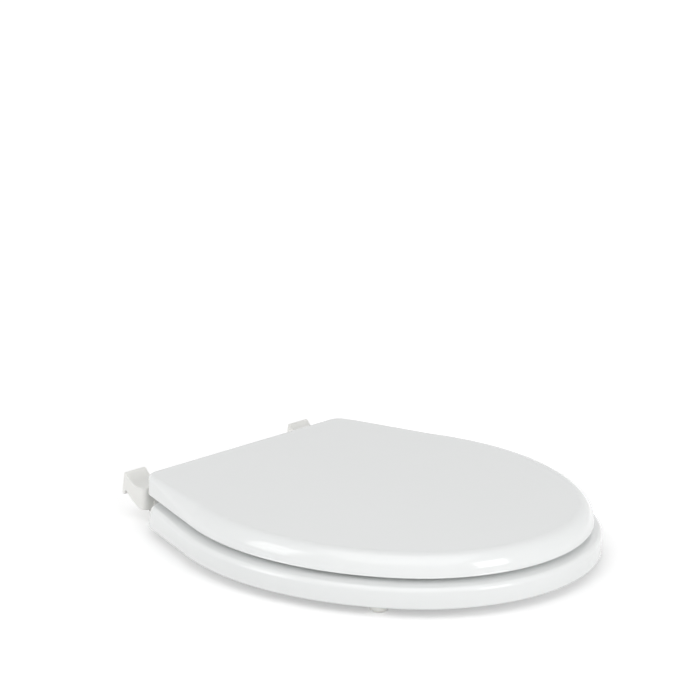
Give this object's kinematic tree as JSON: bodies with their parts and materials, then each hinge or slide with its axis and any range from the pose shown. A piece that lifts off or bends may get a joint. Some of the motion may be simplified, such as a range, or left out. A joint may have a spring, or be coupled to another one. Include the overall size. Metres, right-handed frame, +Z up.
{
  "type": "toilet seat",
  "caption": "Egg-shaped toilet seat of white lacquered board: lid and open ring on a soft-close bar hinge, with buffers under both and bolt fixings at the back.",
  "frame": {"origin": "midway between the two fixing holes, on the bowl rim that the seat stands on, under the hinge line", "axes": "+X to the right seen from the front, +Y back towards the cistern, +Z up"},
  "size_m": [0.3776, 0.4519, 0.0548],
  "materials": {
    "board_lacquer": "white gloss lacquer over moulded wood board",
    "hinge_plastic": "ivory moulded plastic, satin gloss",
    "buffer_plastic": "soft ivory plastic",
    "pad_foam": "pale soft foam",
    "insert_brass": "turned brass",
    "damper_plastic": "dark moulded plastic",
    "rotor_plastic": "natural acetal",
    "seal_rubber": "black rubber",
    "pin_steel": "ground steel",
    "screw_steel": "zinc plated steel"
  },
  "bodies": {
    "base": {"hinge_post_left": "hinge_plastic", "foot_pad_left": "pad_foam", "threaded_insert_left": "insert_brass", "damper_case_left": "damper_plastic", "damper_cap_left": "damper_plastic", "hinge_post_right": "hinge_plastic", "foot_pad_right": "pad_foam", "threaded_insert_right": "insert_brass", "damper_case_right": "damper_plastic", "damper_cap_right": "damper_plastic"},
    "seat": {"seat_ring": "board_lacquer", "seat_buffer_front_left": "buffer_plastic", "seat_buffer_front_right": "buffer_plastic", "seat_buffer_rear_left": "buffer_plastic", "seat_buffer_rear_right": "buffer_plastic", "seat_arm_left": "hinge_plastic", "seat_arm_screws_left": "screw_steel", "seat_arm_right": "hinge_plastic", "seat_arm_screws_right": "screw_steel", "pivot_pin_left": "pin_steel", "damper_rotor_right": "rotor_plastic", "damper_seal_right": "seal_rubber"},
    "lid": {"lid": "board_lacquer", "lid_buffer_left": "buffer_plastic", "lid_buffer_right": "buffer_plastic", "lid_bracket": "hinge_plastic", "lid_bracket_screws": "screw_steel", "damper_rotor_left": "rotor_plastic", "damper_seal_left": "seal_rubber", "pivot_pin_right": "pin_steel"}
  },
  "joints": [
    {"name": "seat_hinge", "type": "hinge", "parent": "base", "child": "seat", "pos_m": [0, 0, 0.028], "axis": [-1, 0, 0], "range_deg": [0, 95]},
    {"name": "lid_hinge", "type": "hinge", "parent": "seat", "child": "lid", "pos_m": [0, 0, 0.028], "axis": [1, 0, 0], "range_deg": [-98, 0]}
  ]
}
